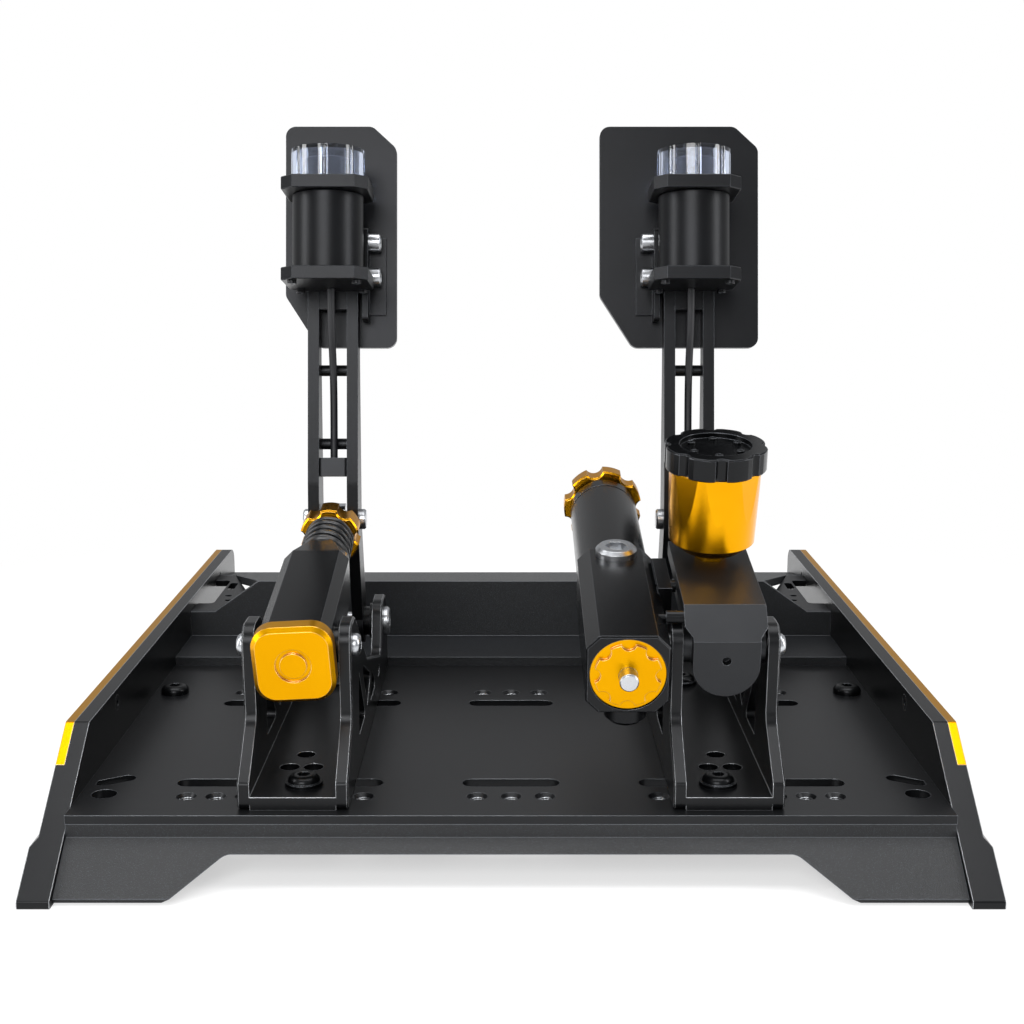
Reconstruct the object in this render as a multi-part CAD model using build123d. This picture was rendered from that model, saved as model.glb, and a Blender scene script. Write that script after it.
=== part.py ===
from build123d import *
import os
from math import atan2, cos, degrees, hypot, pi, radians, sin, tan

# Two-pedal set for driving games: throttle with a coil-over damper, and a
# hydraulic brake. Millimetres. X runs across the set, with the throttle at
# negative X and the brake at positive X. Y runs from the damper end towards the
# driver's heels. Z is up and Z = 0 is the floor.

# Base frame: two side plates with a deck between them
inner_width = 390.0
base_length = 462.0
side_height = 58.0
side_thickness = 11.0
rib_thickness = 14.0
rib_height = 19.0
rib_bevel = 3.0
nose_height = 3.5
nose_run = 75.5
tail_radius = 9.0
deck_height = 31.0
deck_thickness = 4.0
deck_setback = 28.0
deck_length = 279.0
deck_lip = 20.0
fit_gap = 0.25

# Gold strip let into the outer top edge of each side plate
strip_width = 4.0
strip_height = 14.0
strip_screw_radius = 2.0
strip_screw_head = 4.0
strip_screw_reach = 3.0
strip_screw_places = (99.0, 380.0)

# Slots and holes in the deck
slot_row = 40.4
row_pitch = 120.0
near_hole_row = 23.2
far_hole_row = 179.1
slot_width = 10.0
centre_slot_length = 45.0
side_slot_length = 95.0
side_group_offset = 106.4
centre_hole_pitch = 15.25
side_hole_pitch = 13.3
hole_radius = 3.3
hole_mouth_radius = 4.75
corner_offset = 184.0
corner_slot_length = 19.0
corner_slot_angle = -32.0
corner_hole_radius = 5.75
corner_hole_place = 26.0
corner_screw_head = 7.5
corner_screw_radius = 4.0

# Folded apron under the near edge of the deck
apron_thickness = 3.0
apron_flange = 16.0
apron_fold = 10.0
apron_reach = 30.0
apron_centre_reach = 8.6
apron_angle = 36.9
apron_centre_half = 124.0
apron_foot_half = 145.0
apron_corner = 9.0

# Heel member: flange on the deck, upright wall and sloping heel plate
heel_thickness = 5.0
heel_bracket_gap = 0.5
heel_wall_height = 39.0
heel_wall_half = 153.0
heel_corner_height = 20.0
heel_corner_half = 180.0
heel_plate_half = 184.0
heel_gap = 0.3
heel_plate_run = 155.0
heel_plate_drop = 30.0
heel_plate_taper = 98.0
wing_thickness = 4.0
wing_window = 10.0
wing_near_strip = 16.0
wing_window_length = 62.0
wing_slot_length = 18.0
wing_slot_width = 5.0
wing_slot_place = 62.0
wing_hole_radius = 2.2
wing_holes = ((4.0, 24.0), (2.0, 36.0))
wing_corner = 4.0

# Side screws that hold the deck lips
side_screw_radius = 3.0
side_screw_head = 6.0
side_screw_places = (32.0, 145.0, 258.0)
side_screw_height = 18.0

# Pedal units, measured from the near edge and the top of the deck
unit_offset = 96.0
bracket_place = 6.0
bracket_length = 225.5
bracket_gap = 38.0
ear_thickness = 5.5
floor_thickness = 6.0
ear_bevel = 0.7
ear_toe_height = 12.0
ear_shoulder = (32.0, 34.0)
ear_saddle = (105.0, 41.0)
ear_valley = (188.0, 19.0)
ear_heel_height = 10.0
ear_windows = (
    ((60.0, 16.0), (92.0, 16.0), (62.0, 49.0)),
    ((102.0, 17.0), (123.0, 28.0), (78.0, 46.0)),
    ((112.0, 14.0), (151.0, 14.0), (134.0, 26.0)),
    ((159.0, 13.0), (185.0, 13.0), (168.0, 19.5)),
)
ear_window_corner = 2.5
floor_hole_shift = 1.0
floor_pair_place = 39.0
floor_pair_half = 5.5
floor_pair_radius = 4.6
floor_hole_place = 56.0
floor_hole_radius = 4.4
trunnion_y = 40.0
trunnion_z = 66.0
trunnion_lobe = 11.0
pivot_y = 212.0
pivot_z = 32.0
pivot_lobe = 14.0
rod_pin_y = 194.0
rod_pin_z = 94.0
bracket_bolt_offset = 93.1
bolt_radius = 4.0
bolt_head = 8.5
bolt_flange = 1.6
bolt_dome = 4.6
running = 0.05

# Pins and bushes
trunnion_radius = 3.0
trunnion_head = 5.2
trunnion_head_height = 3.6
pivot_radius = 5.0
pivot_head = 8.0
pivot_head_height = 3.0
bush_radius = 8.0
bush_gap = 0.3
rod_pin_radius = 4.0
rod_pin_head = 5.5
rod_pin_length = 34.0

# Pedal arms: two plates with spacers, upright above a bend
arm_thickness = 6.0
arm_gap = 15.0
arm_lean = 11.0
arm_pivot_lobe = 12.0
arm_pin_lobe = 10.5
bend_y = 186.0
bend_z = 115.0
arm_length = 150.0
arm_depth = 20.0
arm_top_depth = 12.0
spacer_radius = 3.0
spacer_places = ((13.6, 22.0), (12.6, 62.0))
low_spacer_y = 205.0
low_spacer_z = 62.0

# Pedal faces, placed along the leaning upper arm
face_thickness = 5.0
face_height = 121.0
face_bottom = 74.5
face_corner = 5.5
face_top_bevel = (13.0, 12.0)
face_foot_bevel = (18.0, 28.0)
throttle_face_width = 60.5
throttle_face_shift = 3.2
brake_face_width = 86.5
brake_face_shift = -4.2
face_screw_spread = 16.0
face_screw_radius = 2.5
face_screw_head = 4.9
face_screw_sink = 2.4
face_screw_core = 2.1
face_screw_reach = 8.0

# Clamp that joins the face to the arm
clamp_bottom = 94.0
clamp_height = 54.0
cheek_thickness = 3.0
cheek_washer = 2.4
cheek_height = 50.0
cheek_drop = 6.0
cheek_foot_inset = 8.0
cheek_foot_thickness = 2.0
cheek_foot_reach = 9.0
clamp_screw_radius = 3.0
clamp_screw_head = 5.0
clamp_screw_head_height = 6.6
clamp_screw_places = (112.0, 130.5)
clamp_screw_depth = 4.8

# Vibration motor on the near side of each arm
motor_radius = 18.5
motor_length = 40.0
motor_flange_width = 45.0
motor_flange_bevel = 6.5
motor_flange_thickness = 6.8
motor_middle = 130.5
cap_radius = 19.2
cap_height = 16.5
cap_wall = 1.6
cap_notches = 8
cap_notch_depth = 1.1
rotor_radius = 12.0
rotor_height = 11.5
rotor_gap = 0.5
rotor_shaft = 2.0
rotor_depth = 6.0
rotor_cut = 4.0

# Motor cable, held between the two plates of the arm
cable_radius = 2.0
cable_route = ((-9.0, 103.5), (-9.0, 86.0), (3.0, 62.0), (6.4, 36.0), (6.4, 12.0))
cable_grip_depth = 12.0
cable_grip_height = 10.0
cable_grip_hold = 2.0

# Damper of the throttle, measured along its axis from the trunnion
damper_width = 32.0
damper_bevel = 4.5
damper_front = 12.0
damper_back = 73.0
damper_tip = 97.6
damper_tip_width = 24.0
trunnion_boss = 8.0
trunnion_boss_gap = 0.5
rod_radius = 5.0
rod_start = 60.0
rod_bore_start = 38.0
rod_eye_radius = 8.6
rod_eye_width = 12.0
rod_eye_clearance = 0.75
dial_width = 36.5
dial_thickness = 9.3
dial_corner = 10.0
dial_bevel = 2.0
dial_gap = 0.7
dial_turn = -3.0
dial_ring_inner = 6.0
dial_ring_outer = 8.0
dial_ring_depth = 1.2
dial_stub_radius = 4.0
dial_stub = 7.0
spring_radius = 11.7
spring_wire = 1.3
spring_turns = 5.0
preload_place = 128.5
preload_thickness = 13.0
preload_radius = 15.75
preload_notches = 6
preload_notch_radius = 4.2
preload_bevel = 0.8

# Brake master cylinder on the same axis
master_front = 15.0
master_back = 75.0
master_round = 15.0
master_drop = 3.4
master_half_width = 18.5
master_top = 20.0
master_shoulder = 9.5
master_slant_run = 15.0
master_slant_drop = 11.6
master_snout_radius = 14.0
master_snout_end = 105.0
master_screw_radius = 2.0
push_rod_start = 78.0
push_bore_start = 60.0
push_nut_radius = 8.5
push_nut_length = 7.0
push_nut_setback = 30.0

# Fluid reservoir and its lid
reservoir_place = 55.0
reservoir_neck_radius = 7.5
reservoir_neck_height = 5.0
reservoir_height = 41.0
reservoir_foot_radius = 14.0
reservoir_foot_height = 5.0
reservoir_low_radius = 20.3
reservoir_high_radius = 21.9
reservoir_flat = 20.9
reservoir_wall = 3.0
lid_gap = 0.3
lid_radius = 23.5
lid_height = 11.0
lid_notches = 8
lid_notch_radius = 3.0
lid_recess_radius = 17.0
lid_recess_depth = 2.5
lid_plug_height = 5.0

# Elastomer cylinder beside the master cylinder
side_offset = -45.0
side_width = 37.0
side_bevel = 5.8
side_front = 30.4
side_block_back = 69.0
side_tube_radius = 18.0
side_tube_end = 172.0
side_recess_radius = 17.1
side_recess_depth = 5.0
lug_width = 5.6
lug_start = 27.0
near_knob_radius = 16.8
near_knob_thickness = 5.6
near_knob_notches = 8
near_knob_hub = 13.2
near_knob_notch_radius = 3.4
shaft_radius = 4.2
shaft_length = 15.0
shaft_depth = 24.0
far_knob_radius = 21.5
far_knob_thickness = 10.0
far_knob_notches = 7
far_knob_notch_radius = 5.0
far_knob_gap = 0.5
plug_radius = 10.0
plug_height = 4.5
plug_place = 62.0
plug_socket = 5.5
hose_radius = 9.5
hose_length = 8.5
hose_place = -19.0
standoff_radius = 3.0
standoff_stud_radius = 1.5
standoff_stud_reach = 5.0
standoff_hole_reach = 6.0
standoff_places = ((-2.0, 14.6), (35.4, 13.4))

# Values that follow from the driving dimensions
half_inner = inner_width / 2
base_front = -base_length / 2
base_back = base_length / 2
deck_front = base_front + deck_setback
ear_inner = bracket_gap / 2
ear_outer = ear_inner + ear_thickness
arm_inner = arm_gap / 2
arm_outer = arm_inner + arm_thickness
link_run = rod_pin_y - trunnion_y
link_rise = rod_pin_z - trunnion_z
link_length = hypot(link_run, link_rise)
link_angle = degrees(atan2(link_rise, link_run))

# The heel member's flange ends just behind the two brackets
heel_flange = deck_length - bracket_place - bracket_length - heel_bracket_gap

trunnion = (deck_front + trunnion_y, deck_height + trunnion_z)
pivot = (deck_front + pivot_y, deck_height + pivot_z)
rod_pin = (deck_front + rod_pin_y, deck_height + rod_pin_z)
bend = (deck_front + bend_y, deck_height + bend_z)

# Frames: along the damper axis from the trunnion, and up the leaning arm from
# the near side of its bend.
axis_frame = Location((0, trunnion[0], trunnion[1]), (link_angle, 0, 0))
lean_frame = Location((0, bend[0], bend[1]), (-arm_lean, 0, 0))


def along_x(face, start, stop):
    return extrude(Plane.YZ.offset(start) * face, stop - start)


def along_y(face, start, stop):
    return extrude(Plane.XZ.offset(-start) * face, start - stop)


def along_z(face, start, stop):
    return extrude(Plane.XY.offset(start) * face, stop - start)


def outline(*points, radius=0.0):
    return make_face(FilletPolyline(*points, radius=radius, close=True))


def disc(radius, x=0.0, y=0.0):
    return Pos(x, y) * Circle(radius)


def both_sides(shape):
    return [shape, mirror(shape, Plane.YZ)]


def group(*shapes):
    solids = []
    for shape in shapes:
        for item in shape if isinstance(shape, (list, tuple)) else [shape]:
            solids.extend(item.solids())
    return Compound(solids)


def ring_of(count, radius, tool_radius):
    cuts = Sketch()
    for index in range(count):
        angle = 2 * pi * index / count
        cuts += disc(tool_radius, radius * cos(angle), radius * sin(angle))
    return cuts


def square_with_bevels(width, bevel):
    square = Rectangle(width, width)
    return chamfer(square.vertices(), bevel)


def bevel_rims(solid, axis, length):
    rims = solid.faces().sort_by(axis)
    return chamfer(rims[0].outer_wire().edges() + rims[-1].outer_wire().edges(), length)


def button_screw(radius, head_radius, head_height, length):
    # Domed screw standing on Z = 0 with its shank below
    head = Cylinder(head_radius, head_height, align=(Align.CENTER, Align.CENTER, Align.MIN))
    rim = head.faces().sort_by(Axis.Z)[-1].edges()
    head = fillet(rim, head_height * 0.7)
    socket = extrude(Pos(0, 0, head_height) * RegularPolygon(head_radius * 0.42, 6), -head_height * 0.5)
    shank = Cylinder(radius, length, align=(Align.CENTER, Align.CENTER, Align.MAX))
    return head - socket + shank


def sunk_screw(radius, head_radius, length, socket=True):
    # Countersunk screw with its flat head at Z = 0
    depth = head_radius - radius
    head = Pos(0, 0, -depth / 2) * Cone(radius, head_radius, depth)
    screw = head + Cylinder(radius, length, align=(Align.CENTER, Align.CENTER, Align.MAX))
    if socket:
        screw -= extrude(RegularPolygon(head_radius * 0.45, 6), -depth * 0.6)
    return screw


# Side plates and their strips
def side_profile():
    return outline(
        (base_front, 0),
        (base_front, nose_height),
        (base_front + nose_run, side_height),
        (base_back, side_height),
        (base_back, 0),
        radius=[1.0, 1.2, 3.0, tail_radius, 1.5],
    )


def side_section():
    inner = half_inner
    upper = half_inner + side_thickness
    lower = half_inner + rib_thickness
    points = (
        (inner, 0),
        (lower, 0),
        (lower, rib_height),
        (upper, rib_height + rib_bevel),
        (upper, side_height),
        (inner, side_height),
    )
    return make_face(Polyline(*points, close=True))


def strip_block():
    outer = half_inner + side_thickness
    face = Pos(outer - strip_width / 2, side_height - strip_height / 2) * Rectangle(strip_width, strip_height)
    return along_y(face, base_front, base_back)


def strip_screw_places_on_plate():
    spots = []
    for place in strip_screw_places:
        spots.append(Location((half_inner, deck_front + place, side_height - strip_height / 2), (0, -90, 0)))
    return spots


def strip_screw(socket=True):
    length = side_thickness - strip_width + strip_screw_reach
    return sunk_screw(strip_screw_radius, strip_screw_head, length, socket)


def side_screw_spots():
    spots = []
    for place in side_screw_places:
        spots.append((deck_front + place, side_screw_height))
    return spots


def side_plate():
    profile = along_x(side_profile(), half_inner, half_inner + rib_thickness)
    plate = along_y(side_section(), base_front, base_back) & profile
    plate -= strip_block()
    for spot in strip_screw_places_on_plate():
        plate -= spot * strip_screw(False)
    for spot in side_screw_spots():
        place = Location((half_inner + rib_thickness, *spot), (0, 90, 0))
        plate -= place * sunk_screw(side_screw_radius, side_screw_head, rib_thickness, False)
    return plate


def trim_strip():
    profile = along_x(side_profile(), half_inner, half_inner + rib_thickness)
    strip = strip_block() & profile
    for spot in strip_screw_places_on_plate():
        strip -= spot * strip_screw(False)
    return strip


def strip_screws():
    screws = []
    for spot in strip_screw_places_on_plate():
        screws.extend(both_sides(spot * strip_screw()))
    return group(screws)


def side_screws():
    screws = []
    outer = half_inner + rib_thickness
    for spot in side_screw_spots():
        screw = sunk_screw(side_screw_radius, side_screw_head, rib_thickness + deck_thickness)
        screws.extend(both_sides(Location((outer, *spot), (0, 90, 0)) * screw))
    return group(screws)


# Deck with its slots, rows of holes and turned-down lips
def deck_slots():
    slots = Sketch()
    for row in (slot_row, slot_row + row_pitch):
        slots += Pos(0, deck_front + row) * SlotOverall(centre_slot_length, slot_width)
        for side in (-1, 1):
            place = Pos(side * side_group_offset, deck_front + row)
            slots += place * SlotOverall(side_slot_length, slot_width)
    return slots


def deck_hole_spots():
    spots = []
    for row in (near_hole_row, far_hole_row):
        for index in range(-1, 2):
            spots.append((index * centre_hole_pitch, deck_front + row))
        for side in (-1, 1):
            for index in range(-3, 4):
                spots.append((side * side_group_offset + index * side_hole_pitch, deck_front + row))
    return spots


def corner_screw_spots():
    row = deck_front + far_hole_row
    return [(-corner_offset, row), (corner_offset, row)]


def deck():
    half = half_inner
    top = Pos(0, deck_front + deck_length / 2) * Rectangle(2 * half, deck_length)
    cuts = deck_slots()
    for spot in deck_hole_spots():
        cuts += disc(hole_radius, *spot)
    for side in (-1, 1):
        cuts += disc(corner_hole_radius, side * corner_offset, deck_front + corner_hole_place)
        slot = Rot(0, 0, side * corner_slot_angle) * SlotOverall(corner_slot_length, slot_width * 0.8)
        cuts += Pos(side * (corner_offset - 1), deck_front + slot_row + 3) * slot
    for spot in corner_screw_spots():
        cuts += disc(corner_screw_radius, *spot)
    plate = along_z(top - cuts, deck_height - deck_thickness, deck_height)
    mouth_depth = hole_mouth_radius - hole_radius
    for spot in deck_hole_spots():
        mouth = Cone(hole_radius, hole_mouth_radius, mouth_depth)
        plate -= Pos(spot[0], spot[1], deck_height - mouth_depth / 2) * mouth
    lip_face = Pos(half - deck_thickness / 2, deck_height - deck_lip / 2) * Rectangle(deck_thickness, deck_lip)
    lip_start = deck_front + apron_flange + 2
    for lip in both_sides(along_y(lip_face, lip_start, deck_front + deck_length)):
        plate += lip
    for spot in side_screw_spots():
        plate -= along_x(disc(side_screw_radius, *spot), -half, half)
    return plate


def corner_screws():
    screws = []
    for spot in corner_screw_spots():
        screw = button_screw(corner_screw_radius, corner_screw_head, 4.4, deck_thickness + 8)
        screws.append(Pos(spot[0], spot[1], deck_height) * screw)
    return group(screws)


# Apron folded from one sheet: flange, short upright and sloping flap
def apron():
    run = apron_reach * cos(radians(apron_angle))
    drop = apron_reach * sin(radians(apron_angle))
    back_run = apron_thickness * sin(radians(apron_angle))
    back_drop = apron_thickness * cos(radians(apron_angle))
    inner_fold = apron_fold + apron_thickness / cos(radians(apron_angle))
    inner_fold -= apron_thickness * tan(radians(apron_angle))
    top = deck_height - deck_thickness
    section = make_face(
        Polyline(
            (deck_front + apron_flange, top),
            (deck_front, top),
            (deck_front, deck_height - apron_fold),
            (deck_front - run, deck_height - apron_fold - drop),
            (deck_front - run + back_run, deck_height - apron_fold - drop - back_drop),
            (deck_front + apron_thickness, deck_height - inner_fold),
            (deck_front + apron_thickness, top - apron_thickness),
            (deck_front + apron_flange, top - apron_thickness),
            close=True,
        )
    )
    half = half_inner - fit_gap
    sheet = along_x(section, -half, half)
    centre_drop = deck_height - apron_fold - apron_centre_reach * sin(radians(apron_angle))
    foot_drop = deck_height - apron_fold - drop
    slope = (apron_foot_half - apron_centre_half) / (centre_drop - foot_drop)
    reach = foot_drop + 12.0
    window = outline(
        (-apron_foot_half - slope * reach, foot_drop - reach),
        (-apron_foot_half, foot_drop),
        (-apron_centre_half, centre_drop),
        (apron_centre_half, centre_drop),
        (apron_foot_half, foot_drop),
        (apron_foot_half + slope * reach, foot_drop - reach),
        radius=[0.0, 0.0, apron_corner, apron_corner, 0.0, 0.0],
    )
    window = along_y(window, deck_front - run - 5, deck_front + apron_thickness / 2)
    return sheet - window


# Heel member and the two corner wings behind it
def heel_member():
    wall = deck_front + deck_length
    near = wall - heel_flange
    t = heel_thickness
    length = hypot(heel_plate_run, heel_plate_drop)
    back_run = t * heel_plate_drop / length
    back_drop = t * heel_plate_run / length
    top = deck_height + heel_wall_height
    inner_top = top - t * length / heel_plate_run - t * heel_plate_drop / heel_plate_run
    end = (wall + heel_plate_run, top - heel_plate_drop)
    section = make_face(
        Polyline(
            (near, deck_height),
            (near, deck_height + t),
            (wall, deck_height + t),
            (wall, top),
            end,
            (end[0] - back_run, end[1] - back_drop),
            (wall + t, inner_top),
            (wall + t, deck_height),
            close=True,
        )
    )
    half = half_inner - fit_gap
    sheet = along_x(section, -half, half)
    corner = outline(
        (heel_wall_half, deck_height + heel_wall_height + 1),
        (heel_wall_half, deck_height + heel_wall_height),
        (heel_corner_half, deck_height + heel_corner_height),
        (half + 1, deck_height + heel_corner_height),
        (half + 1, deck_height + heel_wall_height + 1),
    )
    for cut in both_sides(along_y(corner, wall - 1, wall + t + 0.01)):
        sheet -= cut
    side = outline(
        (heel_wall_half, wall + t),
        (heel_plate_half, wall + heel_plate_taper),
        (half + 1, wall + heel_plate_taper),
        (half + 1, wall + t),
    )
    for cut in both_sides(along_z(side, 0, side_height * 2)):
        sheet -= cut
    return sheet


def heel_wing():
    wall = deck_front + deck_length + heel_thickness
    outer = half_inner - fit_gap
    inner = heel_wall_half + heel_gap
    window_start = wall + wing_near_strip
    window_end = window_start + wing_window_length
    end = deck_front + deck_length + heel_plate_taper - heel_gap
    face = outline(
        (inner, wall),
        (outer, wall),
        (outer, window_start),
        (outer - wing_window, window_start),
        (outer - wing_window, window_end),
        (outer, window_end),
        (outer, end),
        (heel_plate_half + heel_gap, end),
        radius=[0.0, 0.0, 0.0, wing_corner, wing_corner, 0.0, 0.0, 0.0],
    )
    middle = outer - wing_window - wing_slot_width * 0.75
    slot = Pos(middle, wall + wing_slot_place) * Rot(0, 0, 90) * SlotOverall(wing_slot_length, wing_slot_width)
    face -= slot
    for inset, place in wing_holes:
        face -= disc(wing_hole_radius, middle - inset, wall + place)
    top = deck_height + heel_corner_height
    return along_z(face, top - wing_thickness, top)


# Bracket of one pedal unit: floor with two cut-out ears
def ear_face():
    low = deck_front + bracket_place
    far = low + bracket_length
    y, z = deck_front, deck_height
    near_lobe = trunnion_lobe
    ear = outline(
        (low, z),
        (low, z + ear_toe_height),
        (y + ear_shoulder[0], z + ear_shoulder[1]),
        (trunnion[0] - near_lobe + 1, trunnion[1] - 12),
        (trunnion[0] - near_lobe - 0.5, trunnion[1] + near_lobe),
        (trunnion[0] + near_lobe - 1, trunnion[1] + near_lobe),
        (y + ear_saddle[0], z + ear_saddle[1]),
        (y + ear_valley[0], z + ear_valley[1]),
        (pivot[0] - pivot_lobe, pivot[1] + pivot_lobe),
        (pivot[0] + pivot_lobe, pivot[1] + pivot_lobe),
        (far, z + ear_heel_height),
        (far, z),
        radius=[3.0, 2.5, 9.0, 8.0, 9.0, 8.0, 25.0, 6.0, 11.0, 12.0, 3.0, 0.0],
    )
    for points in ear_windows:
        ear -= outline(*[(y + p[0], z + p[1]) for p in points], radius=ear_window_corner)
    return ear


def bracket():
    ear = along_x(ear_face(), ear_inner, ear_outer)
    outer_rim = ear.faces().sort_by(Axis.X)[-1].outer_wire().edges()
    ear = chamfer(outer_rim, ear_bevel)
    ear -= along_x(disc(trunnion_radius, *trunnion), ear_inner, ear_outer)
    ear -= along_x(disc(pivot_radius, *pivot), ear_inner, ear_outer)
    low = deck_front + bracket_place
    floor = Pos(0, low + bracket_length / 2) * Rectangle(2 * ear_inner, bracket_length)
    for spot in bolt_spots():
        floor -= disc(bolt_radius, *spot)
    for side in (-1, 1):
        place = side * floor_pair_half - floor_hole_shift
        floor -= disc(floor_pair_radius, place, low + floor_pair_place)
    floor -= disc(floor_hole_radius, -floor_hole_shift, low + floor_hole_place)
    body = along_z(floor, deck_height, deck_height + floor_thickness)
    for part in both_sides(ear):
        body += part
    return body


def bolt_spots():
    offset = unit_offset - bracket_bolt_offset
    return [(offset, deck_front + near_hole_row), (offset, deck_front + far_hole_row)]


def bracket_bolts():
    bolts = []
    for spot in bolt_spots():
        flange = Cylinder(bolt_head, bolt_flange, align=(Align.CENTER, Align.CENTER, Align.MIN))
        screw = button_screw(hole_radius, bolt_head * 0.86, bolt_dome, floor_thickness + deck_thickness + 4)
        bolts.append(Pos(spot[0], spot[1], deck_height + floor_thickness) * (flange + screw))
    return group(bolts)


def trunnion_screws():
    length = ear_outer - trunnion_boss - 1
    screw = button_screw(trunnion_radius, trunnion_head, trunnion_head_height, length)
    return group(both_sides(Location((ear_outer, *trunnion), (0, 90, 0)) * screw))


def pivot_pin():
    pin = along_x(disc(pivot_radius, *pivot), -ear_outer, ear_outer)
    head = along_x(disc(pivot_head, *pivot), ear_outer, ear_outer + pivot_head_height)
    head = chamfer(head.faces().sort_by(Axis.X)[-1].edges(), 1.0)
    socket = along_x(Pos(*pivot) * RegularPolygon(3.4, 6), ear_outer + 1, ear_outer + pivot_head_height)
    for part in both_sides(head - socket):
        pin += part
    return pin


# Pedal arm
def lean_point(depth, height):
    # Point of the leaning upper arm, as Y and Z of the whole set
    angle = radians(arm_lean)
    return (
        bend[0] + depth * cos(angle) + height * sin(angle),
        bend[1] - depth * sin(angle) + height * cos(angle),
    )


def arm_plate():
    face = outline(
        (pivot[0] - arm_pivot_lobe * 0.95, pivot[1] + 3),
        (rod_pin[0] - arm_pin_lobe * 0.98, rod_pin[1] - 4),
        (bend[0] - 1.6, bend[1] - 14),
        bend,
        lean_point(0, arm_length),
        lean_point(arm_top_depth, arm_length),
        lean_point(arm_top_depth, face_bottom - 6),
        lean_point(arm_depth, 3),
        (rod_pin[0] + arm_pin_lobe * 0.98, rod_pin[1] - 4),
        (pivot[0] + arm_pivot_lobe * 0.95, pivot[1] + 5),
        radius=[0.5, 12.0, 3.0, 30.0, 3.0, 2.0, 40.0, 25.0, 12.0, 0.5],
    )
    face += disc(arm_pivot_lobe, *pivot)
    plate = along_x(face, arm_inner, arm_outer)
    plate -= along_x(disc(bush_radius, *pivot), arm_inner, arm_outer)
    plate -= along_x(disc(rod_pin_radius, *rod_pin), arm_inner, arm_outer)
    for place in clamp_screw_places:
        plate -= lean_frame * along_x(disc(clamp_screw_radius, clamp_screw_depth, place), arm_inner, arm_outer)
    return plate


def arm_plates():
    return group(both_sides(arm_plate()))


def arm_spacers():
    spacers = []
    for place in spacer_places:
        spacers.append(lean_frame * along_x(disc(spacer_radius, *place), -arm_inner, arm_inner))
    low = (deck_front + low_spacer_y, deck_height + low_spacer_z)
    spacers.append(along_x(disc(spacer_radius + 1, *low), -arm_inner, arm_inner))
    spacers.append(cable_clip())
    return group(spacers)


def arm_bushes():
    length = ear_inner - bush_gap
    bush = along_x(disc(bush_radius, *pivot) - disc(pivot_radius + running, *pivot), arm_inner, length)
    flange = disc(bush_radius + 2, *pivot) - disc(pivot_radius + running, *pivot)
    bush += along_x(flange, length - 2, length)
    return group(both_sides(bush))


def rod_pin_bolt():
    half = rod_pin_length / 2
    pin = along_x(disc(rod_pin_radius, *rod_pin), -arm_outer, arm_outer)
    head = along_x(disc(rod_pin_head, *rod_pin), arm_outer, half)
    head = chamfer(head.faces().sort_by(Axis.X)[-1].edges(), 0.8)
    for part in both_sides(head):
        pin += part
    return pin


# Pedal face and the clamp that carries it
def pedal_face(width, shift):
    left = shift - width / 2
    right = shift + width / 2
    top = face_bottom + face_height
    face = outline(
        (left + face_foot_bevel[0], face_bottom),
        (right, face_bottom),
        (right, top - face_top_bevel[1]),
        (right - face_top_bevel[0], top),
        (left, top),
        (left, face_bottom + face_foot_bevel[1]),
        radius=face_corner,
    )
    plate = along_y(face, arm_top_depth, arm_top_depth + face_thickness)
    for place in face_screw_places():
        near = arm_top_depth
        far = arm_top_depth + face_thickness
        plate -= along_y(disc(face_screw_radius, *place), near, far)
        plate -= along_y(disc(face_screw_head, *place), far - face_screw_sink, far)
    return lean_frame * plate


def face_screw_places():
    middle = clamp_bottom + clamp_height / 2
    return [(0.0, middle - face_screw_spread), (0.0, middle + face_screw_spread)]


def face_clamp(side):
    block_face = Pos(arm_top_depth / 2 + 0.25, clamp_bottom + clamp_height / 2)
    block_face *= Rectangle(arm_top_depth - 0.5, clamp_height)
    block = along_x(block_face, -arm_inner, arm_inner)
    cheek_start = arm_outer + cheek_washer
    cheek_face = Pos(arm_top_depth / 2, clamp_bottom + cheek_height / 2 - cheek_drop)
    cheek_face *= RectangleRounded(arm_top_depth, cheek_height, 2.0)
    cheek = along_x(cheek_face, cheek_start, cheek_start + cheek_thickness)
    foot_face = Pos(arm_top_depth - cheek_foot_thickness / 2, clamp_bottom + cheek_height / 2 - cheek_drop)
    foot_face *= Rectangle(cheek_foot_thickness, cheek_height - cheek_foot_inset)
    foot = along_x(foot_face, cheek_start, cheek_start + cheek_thickness + cheek_foot_reach)
    washers = []
    for place in clamp_screw_places:
        spot = (clamp_screw_depth, place)
        ring = disc(clamp_screw_head, *spot)
        washers.append(along_x(ring, arm_outer, cheek_start))
    cheek += foot
    for washer in washers:
        cheek += washer
    for place in clamp_screw_places:
        hole = disc(clamp_screw_radius, clamp_screw_depth, place)
        cheek -= along_x(hole, arm_outer, cheek_start + cheek_thickness)
        block -= along_x(hole, -arm_inner, arm_inner)
    for spot in face_screw_places():
        block -= along_y(disc(face_screw_core, *spot), arm_top_depth - face_screw_reach, arm_top_depth)
    parts = [block, cheek]
    if side < 0:
        parts = [mirror(part, Plane.YZ) for part in parts]
    return group([lean_frame * part for part in parts])


def clamp_screws(side):
    screws = []
    start = arm_outer + cheek_washer + cheek_thickness
    for place in clamp_screw_places:
        spot = (clamp_screw_depth, place)
        shank = along_x(disc(clamp_screw_radius, *spot), -arm_outer, start)
        head = along_x(disc(clamp_screw_head, *spot), start, start + clamp_screw_head_height)
        head = chamfer(head.faces().sort_by(Axis.X)[-1].edges(), 0.6)
        end = start + clamp_screw_head_height
        head -= along_x(Pos(*spot) * RegularPolygon(2.9, 6), end - 3, end)
        screw = shank + head
        screws.append(mirror(screw, Plane.YZ) if side < 0 else screw)
    return group([lean_frame * screw for screw in screws])


# Vibration motor
def motor_frame():
    return lean_frame * Pos(0, -motor_flange_width / 2, motor_middle)


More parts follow.
